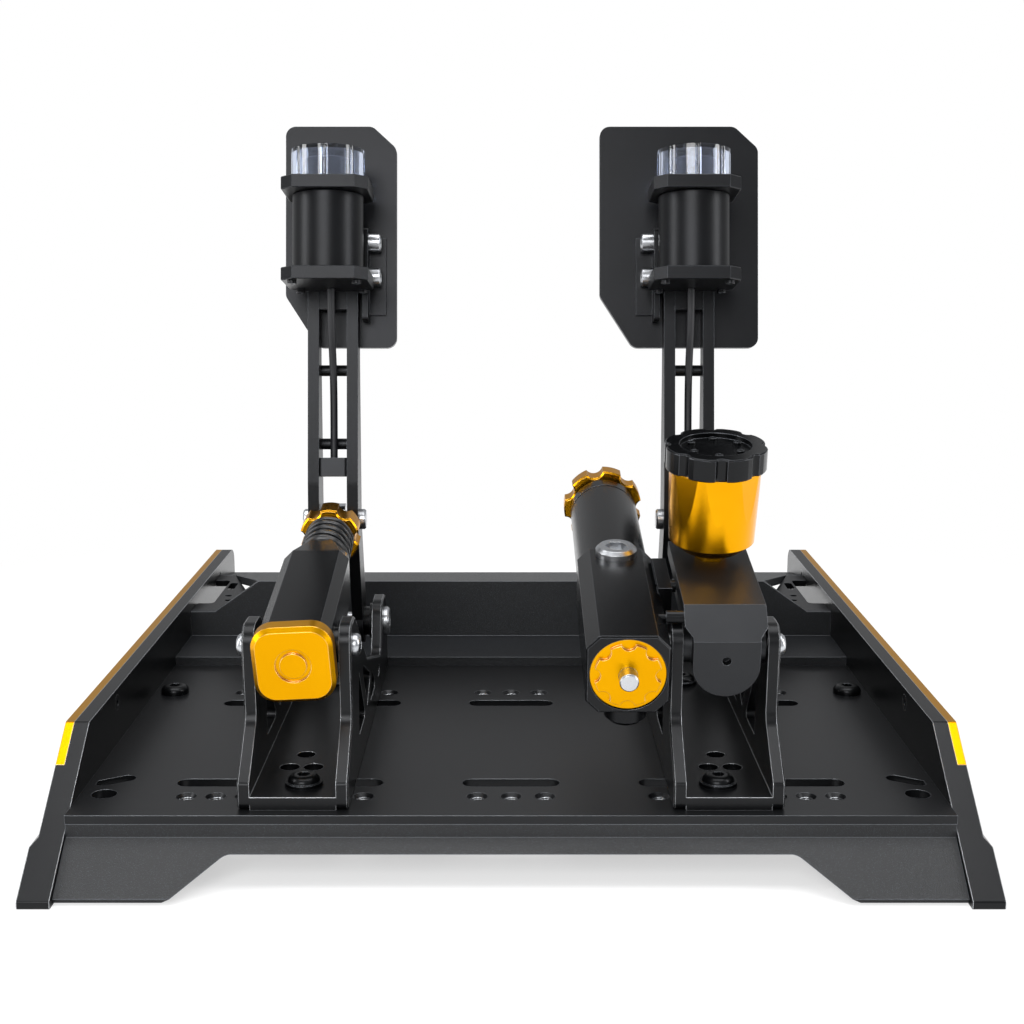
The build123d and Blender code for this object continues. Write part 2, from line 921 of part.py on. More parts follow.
def motor_can():
    can = Cylinder(motor_radius, motor_length)
    return motor_frame() * bevel_rims(can, Axis.Z, 0.6)


def motor_flanges():
    half = motor_length / 2
    upper = along_z(square_with_bevels(motor_flange_width, motor_flange_bevel), half, half + motor_flange_thickness)
    rims = upper.faces().sort_by(Axis.Z)
    upper = chamfer(rims[0].edges() + rims[-1].edges(), 0.4)
    lower = mirror(upper, Plane.XY)
    upper -= along_z(disc(rotor_shaft + running), half, half + motor_flange_thickness)
    lower -= along_z(disc(cable_radius + 0.4, 0, cable_port()), -half - motor_flange_thickness, -half)
    return motor_frame() * Compound([upper.solid(), lower.solid()])


def cable_port():
    return cable_route[0][0] + motor_flange_width / 2


def motor_cap():
    base = motor_length / 2 + motor_flange_thickness
    shape = disc(cap_radius) - ring_of(cap_notches, cap_radius + 0.6, cap_notch_depth + 0.6)
    cap = along_z(shape, base, base + cap_height)
    hollow = along_z(disc(cap_radius - cap_notch_depth - cap_wall), base, base + cap_height - cap_wall)
    cap -= hollow
    return motor_frame() * cap


def motor_rotor():
    # Off-centre weight on the motor's shaft
    flange_top = motor_length / 2 + motor_flange_thickness
    base = flange_top + rotor_gap
    weight = disc(rotor_radius) - Pos(0, rotor_cut + rotor_radius) * Rectangle(rotor_radius * 2, rotor_radius * 2)
    rotor = along_z(weight, base, base + rotor_height)
    rotor = chamfer(rotor.faces().sort_by(Axis.Z)[-1].edges(), 0.8)
    shaft = along_z(disc(rotor_shaft), flange_top - rotor_depth, base + rotor_height + 1.8)
    return motor_frame() * (rotor + shaft)


def route_lengths(points):
    return [hypot(b[0] - a[0], b[1] - a[1]) for a, b in zip(points, points[1:])]


def cable_radii():
    points = list(cable_route)
    runs = route_lengths(points)
    radii = [0.0]
    for index in range(1, len(points) - 1):
        before = Vector(*points[index]) - Vector(*points[index - 1])
        after = Vector(*points[index + 1]) - Vector(*points[index])
        turn = radians(before.get_angle(after))
        radii.append(0.45 * min(runs[index - 1], runs[index]) / tan(turn / 2))
    radii.append(0.0)
    return radii


def motor_cable():
    points = [Vector(0, p[0], p[1]) for p in cable_route]
    path = FilletPolyline(*points, radius=cable_radii()[1:-1])
    start = Plane(origin=points[0], z_dir=points[1] - points[0])
    cable = sweep(start * Circle(cable_radius), path=path)
    return lean_frame * cable


def cable_clip():
    end = cable_route[-1]
    top = end[1] + cable_grip_hold
    block_face = RectangleRounded(arm_gap, cable_grip_depth, 1.5)
    block = along_z(Pos(0, end[0]) * block_face, top - cable_grip_height, top)
    block -= along_z(disc(cable_radius, 0, end[0]), end[1], top)
    return lean_frame * block


# Throttle damper along its own axis
def across_axis(radius, place=0.0, height=0.0):
    return disc(radius, place, height)


def damper_body():
    body = along_y(square_with_bevels(damper_width, damper_bevel), -damper_front, damper_back)
    start = Plane.XZ.offset(-damper_back) * square_with_bevels(damper_width, damper_bevel)
    corner = damper_tip_width * (1 - tan(radians(22.5))) / 2
    finish = Plane.XZ.offset(-damper_tip) * square_with_bevels(damper_tip_width, corner)
    body += loft([start.face(), finish.face()], ruled=True)
    for boss in both_sides(along_x(across_axis(trunnion_boss), damper_width / 2, ear_inner - trunnion_boss_gap)):
        body += boss
    body -= along_y(disc(rod_radius + running), rod_bore_start, damper_tip)
    body -= along_y(disc(dial_stub_radius + running), -damper_front, -damper_front + dial_stub + 1)
    hole = along_x(across_axis(trunnion_radius + running), trunnion_boss - 0.5, ear_inner)
    for cut in both_sides(hole):
        body -= cut
    return axis_frame * body


def damping_dial():
    back = -damper_front - dial_gap
    front = back - dial_thickness
    dial = along_y(RectangleRounded(dial_width, dial_width, dial_corner), front, back)
    near_rim = dial.faces().sort_by(Axis.Y)[0].edges()
    far_rim = dial.faces().sort_by(Axis.Y)[-1].edges()
    dial = chamfer(near_rim, dial_bevel)
    dial = chamfer(dial.faces().sort_by(Axis.Y)[-1].edges(), 0.8)
    ring = disc(dial_ring_outer) - disc(dial_ring_inner)
    dial -= along_y(ring, front, front + dial_ring_depth)
    dial += along_y(disc(dial_stub_radius), back, -damper_front + dial_stub)
    return axis_frame * (Rot(0, dial_turn, 0) * dial)


def coil_spring():
    length = preload_place - damper_tip
    height = length - 2 * spring_wire - 0.2
    path = Helix(height / spring_turns, height, spring_radius)
    start = Plane(origin=path @ 0, z_dir=path % 0)
    wire = sweep(start * Circle(spring_wire), path=path)
    return axis_frame * Location((0, damper_tip + spring_wire + 0.1, 0), (-90, 0, 0)) * wire


def notched_knob(radius, thickness, notches, notch_radius, bore):
    shape = disc(radius) - ring_of(notches, radius + notch_radius * 0.35, notch_radius)
    knob = along_y(shape, 0, thickness)
    knob = bevel_rims(knob, Axis.Y, preload_bevel)
    return knob - along_y(disc(bore), 0, thickness)


def preload_knob():
    knob = notched_knob(preload_radius, preload_thickness, preload_notches, preload_notch_radius, rod_radius + running)
    return axis_frame * Pos(0, preload_place, 0) * knob


def link_rod(start, nut=None):
    eye_back = link_length - rod_eye_radius * 0.6
    rod = along_y(disc(rod_radius), start, eye_back)
    eye = along_x(across_axis(rod_eye_radius, link_length), -rod_eye_width / 2, rod_eye_width / 2)
    rod += eye
    if nut:
        rod += along_y(RegularPolygon(push_nut_radius, 6), nut, nut + push_nut_length)
    hole = across_axis(rod_pin_radius + rod_eye_clearance, link_length)
    rod -= along_x(hole, -rod_eye_width, rod_eye_width)
    return axis_frame * rod


# Brake master cylinder and reservoir
def master_section():
    shoulder = master_shoulder + master_half_width - master_round
    block = outline(
        (-master_round, -master_drop),
        (-master_round, master_shoulder),
        (-master_half_width, shoulder),
        (-master_half_width, master_top),
        (master_half_width, master_top),
        (master_half_width, shoulder),
        (master_round, master_shoulder),
        (master_round, -master_drop),
    )
    return block + disc(master_round, 0, -master_drop)


def master_cylinder():
    body = along_y(master_section(), -master_front, master_back)
    slant = make_face(
        Polyline(
            (-master_front - 1, master_top - master_slant_drop),
            (-master_front, master_top - master_slant_drop),
            (-master_front + master_slant_run, master_top),
            (-master_front + master_slant_run, master_top + 1),
            (-master_front - 1, master_top + 1),
            close=True,
        )
    )
    body -= along_x(slant, -master_half_width - 1, master_half_width + 1)
    snout = along_y(disc(master_snout_radius), master_back, master_snout_end)
    snout = chamfer(snout.faces().sort_by(Axis.Y)[-1].edges(), 2.0)
    body += snout
    for boss in both_sides(along_x(across_axis(trunnion_boss), master_round - 1, ear_inner - trunnion_boss_gap)):
        body += boss
    body -= along_y(disc(rod_radius + running), push_bore_start, master_snout_end)
    hole = along_x(across_axis(trunnion_radius + running), trunnion_boss - 0.5, ear_inner)
    for cut in both_sides(hole):
        body -= cut
    body -= along_y(disc(master_screw_radius, 0, -1.0), -master_front, -master_front + 4)
    port = reservoir_neck_radius * 0.6
    body -= along_z(disc(port, 0, reservoir_place), master_top - 6, master_top)
    for place in standoff_places:
        hole = across_axis(standoff_stud_radius, *place)
        body -= along_x(hole, -master_half_width, -master_half_width + standoff_hole_reach)
    return axis_frame * body


def reservoir_cup_parts():
    start = master_top + reservoir_neck_height
    shoulder = start + reservoir_foot_height
    finish = start + reservoir_height
    low = Plane.XY.offset(start) * Circle(reservoir_foot_radius)
    middle = Plane.XY.offset(shoulder) * Circle(reservoir_low_radius)
    high = Plane.XY.offset(finish) * Circle(reservoir_high_radius)
    foot = loft([low.face(), middle.face()], ruled=True)
    wall = loft([middle.face(), high.face()], ruled=True)
    prism = RegularPolygon(reservoir_flat, 8, major_radius=False, rotation=22.5)
    cup = (foot + wall) & along_z(prism, start, finish)
    inner = disc(reservoir_low_radius - reservoir_wall)
    cup -= along_z(inner, shoulder, finish)
    neck = along_z(RegularPolygon(reservoir_neck_radius, 6), master_top, start)
    stem = along_z(disc(reservoir_neck_radius * 0.6), master_top - 6, master_top)
    return cup + neck + stem - along_z(disc(2.0), master_top - 6, shoulder)


def reservoir():
    return axis_frame * Pos(0, reservoir_place, 0) * reservoir_cup_parts()


def reservoir_lid():
    start = master_top + reservoir_neck_height + reservoir_height + lid_gap
    shape = RegularPolygon(lid_radius, 8, major_radius=False, rotation=22.5) & Circle(lid_radius * 1.03)
    shape -= ring_of(lid_notches, lid_radius + 1.2, lid_notch_radius)
    lid = along_z(shape, start, start + lid_height)
    lid = bevel_rims(lid, Axis.Z, 0.6)
    lid -= along_z(disc(lid_recess_radius), start + lid_height - lid_recess_depth, start + lid_height)
    plug = disc(reservoir_low_radius - reservoir_wall - 0.1)
    lid += along_z(plug, start - lid_plug_height, start + 1)
    for spot in lid_screw_spots():
        lid -= along_z(disc(1.25, *spot), start + 2, start + lid_height)
    return axis_frame * Pos(0, reservoir_place, 0) * lid


def lid_screw_spots():
    spots = []
    for index in range(6):
        angle = 2 * pi * (index + 0.5) / 6
        spots.append((12.5 * cos(angle), 12.5 * sin(angle)))
    return spots


# Elastomer cylinder beside the master cylinder
def side_frame():
    return axis_frame * Pos(side_offset, 0, 0)


def side_cylinder():
    block = along_y(square_with_bevels(side_width, side_bevel), -side_front, side_block_back)
    block = chamfer(block.faces().sort_by(Axis.Y)[0].edges(), 0.8)
    lug_face = Pos(side_width / 2 + lug_width / 2 - 0.5, 9.5) * Rectangle(lug_width + 1, 13)
    block += along_y(lug_face, lug_start, side_block_back - 6)
    tube = along_y(disc(side_tube_radius), side_block_back, side_tube_end)
    tube = chamfer(tube.faces().sort_by(Axis.Y)[-1].edges(), 2.5)
    for place in (side_block_back + 3, side_tube_end - 12):
        groove = disc(side_tube_radius) - disc(side_tube_radius - 0.8)
        tube -= along_y(groove, place, place + 1.6)
    block += tube
    block -= along_y(disc(side_recess_radius), -side_front, -side_front + side_recess_depth)
    block -= along_y(disc(shaft_radius + running), -side_front, -side_front + shaft_depth)
    block -= along_y(disc(shaft_radius + running), side_tube_end - 14, side_tube_end)
    block -= along_z(disc(plug_radius * 0.7, 0, plug_place), side_width / 2 - 6, side_width / 2)
    block -= along_z(disc(hose_radius * 0.6, 0, hose_place), -side_width / 2, -side_width / 2 + 5)
    for place in standoff_places:
        hole = across_axis(standoff_stud_radius, *place)
        block -= along_x(hole, side_width / 2 - standoff_hole_reach, side_width / 2 + lug_width)
    head_room = ear_outer + trunnion_head_height + 0.6
    block -= along_x(across_axis(trunnion_head + 1), -side_offset - head_room, side_width / 2)
    return side_frame() * block


def near_knob():
    start = -side_front + side_recess_depth - 0.3 - near_knob_thickness
    rim = disc(near_knob_radius)
    hub = disc(near_knob_hub + 1.6) - ring_of(near_knob_notches, near_knob_hub + 2.2, near_knob_notch_radius)
    knob = along_y(rim, start + 1.6, start + near_knob_thickness)
    knob += along_y(hub, start, start + 1.6)
    knob -= along_y(disc(shaft_radius + running), start, start + near_knob_thickness)
    return side_frame() * knob


def adjuster_shaft():
    start = -side_front - shaft_length + side_recess_depth + 2
    shaft = along_y(disc(shaft_radius), start, -side_front + shaft_depth - 0.5)
    shaft = chamfer(shaft.faces().sort_by(Axis.Y)[0].edges(), 0.6)
    return side_frame() * shaft


def far_knob():
    knob = notched_knob(far_knob_radius, far_knob_thickness, far_knob_notches, far_knob_notch_radius, 2.0)
    knob -= along_y(disc(2.0), 0, far_knob_thickness)
    stub = along_y(disc(shaft_radius), -12.5, 0.5)
    return side_frame() * Pos(0, side_tube_end + far_knob_gap, 0) * (knob + stub)


def socket_plug():
    start = side_width / 2
    plug = along_z(disc(plug_radius), start, start + plug_height)
    plug = chamfer(plug.faces().sort_by(Axis.Z)[-1].edges(), 1.6)
    plug += along_z(disc(plug_radius * 0.7), start - 5.5, start)
    plug -= along_z(RegularPolygon(plug_socket, 6), start + 0.5, start + plug_height)
    return side_frame() * Pos(0, plug_place, 0) * plug


def hose_fitting():
    start = -side_width / 2
    fitting = along_z(disc(hose_radius), start - hose_length, start)
    fitting = chamfer(fitting.faces().sort_by(Axis.Z)[0].edges(), 2.2)
    fitting += along_z(disc(hose_radius * 0.6), start, start + 4.5)
    return side_frame() * Pos(0, hose_place, 0) * fitting


def standoffs():
    posts = []
    for index, place in enumerate(standoff_places):
        start = side_offset + side_width / 2 + (lug_width if place[0] > lug_start else 0.0)
        post = along_x(across_axis(standoff_radius, *place), start, -master_half_width)
        stud_end = -master_half_width + standoff_stud_reach
        stud = along_x(across_axis(standoff_stud_radius, *place), start - standoff_stud_reach, stud_end)
        posts.append(axis_frame * (post + stud))
    return group(posts)


# Assembly
def save(name, shape):
    export_step(shape, os.path.join("parts", name + ".step"))
    print(name, round(shape.volume))


def save_unit(name, centre, width, shift, side):
    shared = {
        "bracket": bracket,
        "bracket_bolts": bracket_bolts,
        "trunnion_screws": trunnion_screws,
        "pivot_pin": pivot_pin,
        "arm_plates": arm_plates,
        "arm_spacers": arm_spacers,
        "arm_bushes": arm_bushes,
        "rod_pin": rod_pin_bolt,
        "motor_can": motor_can,
        "motor_flanges": motor_flanges,
        "motor_cap": motor_cap,
        "motor_rotor": motor_rotor,
        "motor_cable": motor_cable,
    }
    place = Pos(centre, 0, 0)
    for part, make in shared.items():
        shape = make()
        if part in ("bracket", "bracket_bolts") and side < 0:
            shape = mirror(shape, Plane.YZ)
        save(name + "_" + part, place * shape)
    save(name + "_pedal_face", place * pedal_face(width, shift))
    save(name + "_face_clamp", place * face_clamp(side))
    save(name + "_clamp_screws", place * clamp_screws(side))


os.makedirs("parts", exist_ok=True)
print("cable radii", [round(radius, 2) for radius in cable_radii()])

plates = both_sides(side_plate())
strips = both_sides(trim_strip())
save("side_plate_right", plates[0])
save("side_plate_left", plates[1])
save("trim_strip_right", strips[0])
save("trim_strip_left", strips[1])
save("strip_screws", strip_screws())
save("side_screws", side_screws())
save("deck_plate", deck())
save("corner_screws", corner_screws())
save("front_apron", apron())
save("heel_member", heel_member())
wings = both_sides(heel_wing())
save("heel_wing_right", wings[0])
save("heel_wing_left", wings[1])

save_unit("throttle", -unit_offset, throttle_face_width, throttle_face_shift, 1)
save_unit("brake", unit_offset, brake_face_width, brake_face_shift, -1)

throttle_place = Pos(-unit_offset, 0, 0)
save("throttle_damper_body", throttle_place * damper_body())
save("throttle_damping_dial", throttle_place * damping_dial())
save("throttle_spring", throttle_place * coil_spring())
save("throttle_preload_knob", throttle_place * preload_knob())
save("throttle_damper_rod", throttle_place * link_rod(rod_start))

brake_place = Pos(unit_offset, 0, 0)
save("brake_master_cylinder", brake_place * master_cylinder())
save("brake_reservoir", brake_place * reservoir())
save("brake_reservoir_lid", brake_place * reservoir_lid())
save("brake_side_cylinder", brake_place * side_cylinder())
save("brake_near_knob", brake_place * near_knob())
save("brake_adjuster_shaft", brake_place * adjuster_shaft())
save("brake_far_knob", brake_place * far_knob())
save("brake_socket_plug", brake_place * socket_plug())
save("brake_hose_fitting", brake_place * hose_fitting())
save("brake_standoffs", brake_place * standoffs())
save("brake_push_rod", brake_place * link_rod(push_rod_start, link_length - push_nut_setback))
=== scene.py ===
import math

import bpy
from mathutils import Matrix, Vector


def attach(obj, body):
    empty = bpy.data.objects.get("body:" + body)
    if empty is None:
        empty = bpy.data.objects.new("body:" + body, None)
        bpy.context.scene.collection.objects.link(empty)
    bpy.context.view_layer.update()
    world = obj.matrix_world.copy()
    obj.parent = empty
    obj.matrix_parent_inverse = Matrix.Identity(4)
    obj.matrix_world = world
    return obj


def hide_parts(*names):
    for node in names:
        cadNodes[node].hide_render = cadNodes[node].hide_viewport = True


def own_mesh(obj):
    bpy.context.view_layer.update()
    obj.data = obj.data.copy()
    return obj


# Racing pedal set: black and gold anodised aluminium on a slotted deck.
# The CAD solids carry the shapes. This file gives them their finishes, adds the
# small parts that the solids leave out, and sets up the studio and the camera.

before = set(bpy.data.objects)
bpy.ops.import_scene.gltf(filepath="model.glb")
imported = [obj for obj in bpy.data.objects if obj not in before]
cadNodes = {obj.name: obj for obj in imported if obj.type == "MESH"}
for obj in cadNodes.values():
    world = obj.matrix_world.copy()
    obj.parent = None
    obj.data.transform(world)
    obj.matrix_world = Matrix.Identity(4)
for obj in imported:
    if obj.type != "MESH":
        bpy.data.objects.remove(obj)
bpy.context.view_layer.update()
mm = 0.001
print("frame loaded:", len(cadNodes), "solids")


def linearColour(code, alpha=1.0):
    channels = []
    for start in (0, 2, 4):
        value = int(code[start:start + 2], 16) / 255
        channels.append(value / 12.92 if value <= 0.04045 else ((value + 0.055) / 1.055) ** 2.4)
    return (*channels, alpha)


def addNode(tree, kind, settings=None, links=None, place=(0, 0)):
    # A link's value is another node's output, or a plain number or colour
    node = tree.nodes.new(kind)
    node.location = place
    for key, value in (settings or {}).items():
        setattr(node, key, value)
    for key, value in (links or {}).items():
        socket = node.inputs[key]
        if isinstance(value, bpy.types.NodeSocket):
            tree.links.new(value, socket)
        else:
            socket.default_value = value
    return node


def startMaterial(name):
    material = bpy.data.materials.new(name)
    material.use_nodes = True
    tree = material.node_tree
    tree.nodes.clear()
    output = addNode(tree, "ShaderNodeOutputMaterial", place=(900, 0))
    place = addNode(tree, "ShaderNodeTexCoord", place=(-1100, 0))
    return material, tree, output, place.outputs["Object"]


def finishedMetal(name, look):
    # One finish family: dyed or bare metal with a fine grain, slight cloudiness
    # in its gloss, and a painted highlight: a paler colour mixed in along the edges.
    material, tree, output, place = startMaterial(name)
    grain = addNode(tree, "ShaderNodeTexNoise", None, {
        "Vector": place, "Scale": 1 / (look["grainMm"] * mm), "Detail": 3.0, "Roughness": 0.6,
    }, (-800, -200))
    cloud = addNode(tree, "ShaderNodeTexNoise", None, {
        "Vector": place, "Scale": 1 / (look.get("cloudMm", 35) * mm), "Detail": 4.0,
    }, (-800, 200))
    shade = addNode(tree, "ShaderNodeMapRange", None, {
        "Value": cloud.outputs["Fac"], "From Min": 0.3, "From Max": 0.7, "To Min": 0.0, "To Max": 1.0,
    }, (-560, 200))
    colour = addNode(tree, "ShaderNodeMix", {"data_type": "RGBA"}, {
        "Factor": shade.outputs["Result"],
        6: linearColour(look["colour"]),
        7: linearColour(look["second"]),
    }, (-320, 200))
    base = colour.outputs[2]
    # Painted highlights: pale specks mixed into the colour at random spots, standing in for bumps that catch
    # the light
    if look.get("speckMm"):
        speck = addNode(tree, "ShaderNodeTexVoronoi", {"feature": "F1"}, {
            "Vector": place, "Scale": 1 / (look["speckMm"] * mm),
        }, (-800, 500))
        speckHighlightMask = addNode(tree, "ShaderNodeMapRange", None, {
            "Value": speck.outputs["Distance"], "From Min": 0.28, "From Max": 0.12,
        }, (-560, 500))
        speckled = addNode(tree, "ShaderNodeMix", {"data_type": "RGBA"}, {
            "Factor": speckHighlightMask.outputs["Result"], 6: base, 7: linearColour(look["speck"]),
        }, (-160, 400))
        base = speckled.outputs[2]
    rough = addNode(tree, "ShaderNodeMapRange", None, {
        "Value": grain.outputs["Fac"], "From Min": 0.2, "From Max": 0.8,
        "To Min": look["roughness"] - look.get("roughSwing", 0.04),
        "To Max": look["roughness"] + look.get("roughSwing", 0.04),
    }, (-320, -100))
    bump = addNode(tree, "ShaderNodeBump", None, {
        "Height": grain.outputs["Fac"], "Strength": look["grainStrength"],
        "Distance": look["grainMm"] * mm * 0.5,
    }, (-320, -350))
    roughness = rough.outputs["Result"]
    # Painted highlight: where the bevel normal turns away from the flat normal, the colour is mixed towards the
    # paler edge colour
    if look.get("edge"):
        rounded = addNode(tree, "ShaderNodeBevel", {"samples": 6}, {
            "Radius": look["edgeMm"] * mm,
        }, (-800, -600))
        flat = addNode(tree, "ShaderNodeNewGeometry", None, None, (-800, -750))
        turn = addNode(tree, "ShaderNodeVectorMath", {"operation": "DOT_PRODUCT"}, {
            0: rounded.outputs["Normal"], 1: flat.outputs["Normal"],
        }, (-560, -600))
        edge = addNode(tree, "ShaderNodeMapRange", None, {
            "Value": turn.outputs["Value"], "From Min": 0.985, "From Max": 0.86,
            "To Min": 0.0, "To Max": look["edgeAmount"],
        }, (-320, -600))
        edged = addNode(tree, "ShaderNodeMix", {"data_type": "RGBA"}, {
            "Factor": edge.outputs["Result"], 6: base, 7: linearColour(look["edge"]),
        }, (60, 200))
        base = edged.outputs[2]
        tree.links.new(rounded.outputs["Normal"], bump.inputs["Normal"])
    shader = addNode(tree, "ShaderNodeBsdfPrincipled", None, {
        "Base Color": base,
        "Metallic": look["metallic"],
        "Roughness": roughness,
        "Normal": bump.outputs["Normal"],
    }, (400, 0))
    for key, value in look.get("shader", {}).items():
        shader.inputs[key].default_value = value
    tree.links.new(shader.outputs["BSDF"], output.inputs["Surface"])
    return material


# Each finish's edge colour below is a painted highlight, mixed into the colour along its edges
# Satin black anodised aluminium, bead blasted: a dark dyed layer whose fine
# grain spreads the light, so flat plates go grey where they face the softbox.
anodisedBlack = finishedMetal("satinBlackAnodisedAluminium", {
    "colour": "121315", "second": "16171A", "metallic": 0.6, "roughness": 0.33,
    "grainMm": 0.35, "grainStrength": 0.2, "edge": "70757B", "edgeMm": 0.4, "edgeAmount": 0.5,
    "shader": {"Specular IOR Level": 0.4},
})

# The deck's plate: the same finish, rolled sheet, so smoother and a little paler
anodisedDeck = finishedMetal("satinBlackAnodisedSheet", {
    "colour": "1C1D1F", "second": "202123", "metallic": 0.6, "roughness": 0.33, "cloudMm": 90,
    "grainMm": 0.3, "grainStrength": 0.12, "edge": "9CA0A6", "edgeMm": 0.4, "edgeAmount": 0.6,
    "shader": {"Specular IOR Level": 0.5},
})

# Side plates and brackets: black anodised over machined bar, with a strong painted
# highlight: thin bright lines mixed into the colour along every edge.
anodisedBright = finishedMetal("blackAnodisedBarEdgeHighlights", {
    "colour": "111214", "second": "151618", "metallic": 0.6, "roughness": 0.30,
    "grainMm": 0.3, "grainStrength": 0.2, "edge": "D5D8DC", "edgeMm": 0.55, "edgeAmount": 0.95,
})

# Gloss black anodised turned and milled bodies of the cylinders
anodisedGloss = finishedMetal("glossBlackAnodisedAluminium", {
    "colour": "0D0E10", "second": "101113", "metallic": 0.6, "roughness": 0.24,
    "grainMm": 0.25, "grainStrength": 0.12, "edge": "9599A0", "edgeMm": 0.4, "edgeAmount": 0.5,
})

# Grey anodised body of the master cylinder: bead blasted, so wide soft lights
anodisedGrey = finishedMetal("greyAnodisedAluminium", {
    "colour": "2C2D2F", "second": "313234", "metallic": 0.8, "roughness": 0.38,
    "grainMm": 0.35, "grainStrength": 0.3, "edge": "8A8D92", "edgeMm": 0.5, "edgeAmount": 0.5,
})

# Black powder coat with a sand texture: leathery bumps, and small pale specks
# painted in as highlights where a bump would face the light. Grit is about 0.7 mm across.
powderCoat = finishedMetal("sandTexturedBlackPowderCoat", {
    "colour": "101215", "second": "131518", "metallic": 0.0, "roughness": 0.44, "roughSwing": 0.1,
    "grainMm": 0.45, "grainStrength": 0.9, "speckMm": 0.7, "speck": "343A41",
    "edge": "9AA0A8", "edgeMm": 0.5, "edgeAmount": 0.5,
})

# Gold anodised aluminium: warm metal with a soft satin sheen
goldAnodised = finishedMetal("satinGoldAnodisedAluminium", {
    "colour": "E0A005", "second": "DA9A04", "metallic": 1.0, "roughness": 0.32,
    "grainMm": 0.3, "grainStrength": 0.12, "edge": "FFE9A8", "edgeMm": 0.5, "edgeAmount": 0.7,
})

# Turned gold: same dye over a turned surface, brighter and sharper
goldTurned = finishedMetal("turnedGoldAnodisedAluminium", {
    "colour": "E9A50C", "second": "E09A08", "metallic": 1.0, "roughness": 0.24,
    "grainMm": 0.25, "grainStrength": 0.08, "edge": "FFE3A0", "edgeMm": 0.4, "edgeAmount": 0.6,
})

# Zinc plated or stainless steel: bright, slightly brushed
brightSteel = finishedMetal("brushedStainlessSteel", {
    "colour": "C6C8CB", "second": "B9BCC0", "metallic": 1.0, "roughness": 0.28,
    "grainMm": 0.25, "grainStrength": 0.15, "edge": "F2F4F6", "edgeMm": 0.3, "edgeAmount": 0.6,
})

# Black oxide on alloy steel: oily dark blue-black with soft gloss
blackOxide = finishedMetal("blackOxideSteel", {
    "colour": "101113", "second": "141517", "metallic": 0.7, "roughness": 0.28,
    "grainMm": 0.2, "grainStrength": 0.12, "edge": "8C9096", "edgeMm": 0.35, "edgeAmount": 0.6,
})

# Hard chrome on the ground rods: mirror-like with a trace of grinding
hardChrome = finishedMetal("hardChromedSteel", {
    "colour": "D3D6DA", "second": "CBCED3", "metallic": 1.0, "roughness": 0.12,
    "grainMm": 0.2, "grainStrength": 0.05, "edge": "F4F6F8", "edgeMm": 0.3, "edgeAmount": 0.4,
})

# Coated spring wire: satin black lacquer
springLacquer = finishedMetal("blackLacqueredSpringSteel", {
    "colour": "141517", "second": "1A1B1D", "metallic": 0.2, "roughness": 0.28,
    "grainMm": 0.4, "grainStrength": 0.12, "shader": {"Coat Weight": 0.4, "Coat Roughness": 0.15},
})

# Moulded nylon inside the motors
mouldedNylon = finishedMetal("mouldedBlackNylon", {
    "colour": "1A1B20", "second": "202229", "metallic": 0.0, "roughness": 0.45,
    "grainMm": 0.5, "grainStrength": 0.2,
})

# Cable sheath: soft PVC with a slight sheen
cableSheath = finishedMetal("blackPvcSheath", {
    "colour": "15161A", "second": "1B1C20", "metallic": 0.0, "roughness": 0.50,
    "grainMm": 0.5, "grainStrength": 0.15,
})

def clearMoulding():
    # Clear polycarbonate cap: faint blue body colour, ripples from the mould
    material, tree, output, place = startMaterial("clearBluePolycarbonate")
    ripple = addNode(tree, "ShaderNodeTexNoise", None, {
        "Vector": place, "Scale": 1 / (6 * mm), "Detail": 1.0,
    }, (-800, -200))
    bump = addNode(tree, "ShaderNodeBump", None, {
        "Height": ripple.outputs["Fac"], "Strength": 0.15, "Distance": 0.4 * mm,
    }, (-400, -200))
    shader = addNode(tree, "ShaderNodeBsdfPrincipled", None, {
        "Base Color": linearColour("DCE6FA"),
        "Roughness": 0.06,
        "IOR": 1.58,
        "Transmission Weight": 1.0,
        "Normal": bump.outputs["Normal"],
    }, (300, 0))
    tree.links.new(shader.outputs["BSDF"], output.inputs["Surface"])
    return material


clearCap = clearMoulding()
print("materials made")

finishes = {
    anodisedBright: ["side_plate_right", "side_plate_left", "throttle_bracket", "brake_bracket"],
    anodisedDeck: ["deck_plate"],
    anodisedBlack: [
        "throttle_arm_plates", "brake_arm_plates", "throttle_pedal_face", "brake_pedal_face",
        "throttle_face_clamp", "brake_face_clamp", "heel_wing_right", "heel_wing_left",
        "throttle_motor_can", "brake_motor_can", "throttle_motor_flanges", "brake_motor_flanges",
    ],
    anodisedGloss: ["throttle_damper_body", "brake_side_cylinder", "brake_reservoir_lid"],
    anodisedGrey: ["brake_master_cylinder", "throttle_arm_spacers", "brake_arm_spacers"],
    powderCoat: ["front_apron", "heel_member"],
    goldAnodised: ["trim_strip_right", "trim_strip_left", "throttle_damping_dial", "brake_near_knob"],
    goldTurned: ["throttle_preload_knob", "brake_far_knob", "brake_reservoir"],
    brightSteel: [
        "throttle_trunnion_screws", "brake_trunnion_screws", "throttle_pivot_pin", "brake_pivot_pin",
        "throttle_rod_pin", "brake_rod_pin", "brake_socket_plug", "brake_adjuster_shaft",
        "throttle_clamp_screws", "brake_clamp_screws",
    ],
    blackOxide: [
        "strip_screws", "side_screws", "corner_screws", "throttle_bracket_bolts", "brake_bracket_bolts",
        "brake_hose_fitting", "brake_standoffs", "throttle_arm_bushes", "brake_arm_bushes",
    ],
    hardChrome: ["throttle_damper_rod", "brake_push_rod"],
    springLacquer: ["throttle_spring"],
    mouldedNylon: ["throttle_motor_rotor", "brake_motor_rotor"],
    cableSheath: ["throttle_motor_cable", "brake_motor_cable"],
    clearCap: ["throttle_motor_cap", "brake_motor_cap"],
}
for finish, names in finishes.items():
    for name in names:
        mesh = cadNodes[name].data
        mesh.materials.clear()
        mesh.materials.append(finish)
unpainted = sorted(set(cadNodes) - {name for names in finishes.values() for name in names})
print("solids without a finish:", unpainted)


